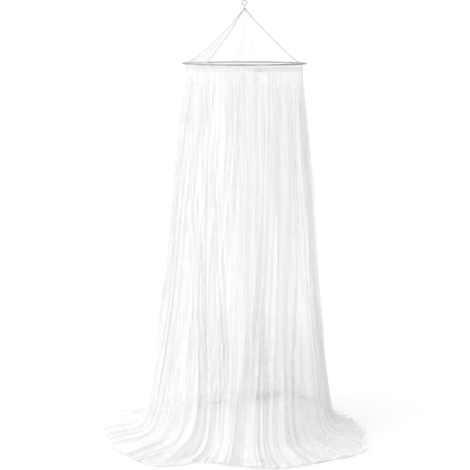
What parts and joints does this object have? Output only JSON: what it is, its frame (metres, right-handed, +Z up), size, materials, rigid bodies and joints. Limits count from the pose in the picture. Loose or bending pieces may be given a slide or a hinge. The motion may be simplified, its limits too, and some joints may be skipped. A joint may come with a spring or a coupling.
{
  "type": "mosquito net canopy with hoop",
  "caption": "Round mosquito net canopy: a sheer cone over a steel hoop, with a long gathered skirt that falls to the floor and spreads there, hung from a small ring.",
  "frame": {"origin": "the point inside the top of the hanging ring where a ceiling hook bears", "axes": "+Z straight up along the hoop's axis, -Y the front, +X to the right seen from the front"},
  "size_m": [1.3302, 1.1766, 2.1357],
  "materials": {
    "ring_steel": "bright drawn wire",
    "cord": "twisted polyester cord",
    "net": "sheer white polyester mesh",
    "seam_tape": "folded seam, stitched",
    "hoop_steel": "dull grey tube",
    "casing_net": "doubled sheer mesh, wrinkled"
  },
  "bodies": {
    "root": {"hanging_ring": "ring_steel", "hanging_loop": "cord", "crown_binding": "cord", "cone_gore_1": "net", "cone_gore_2": "net", "cone_gore_3": "net", "cone_gore_4": "net", "cone_seam_1": "seam_tape", "cone_seam_2": "seam_tape", "cone_seam_3": "seam_tape", "cone_seam_4": "seam_tape", "hoop": "hoop_steel", "heading_band": "casing_net", "skirt": "net"}
  },
  "joints": []
}
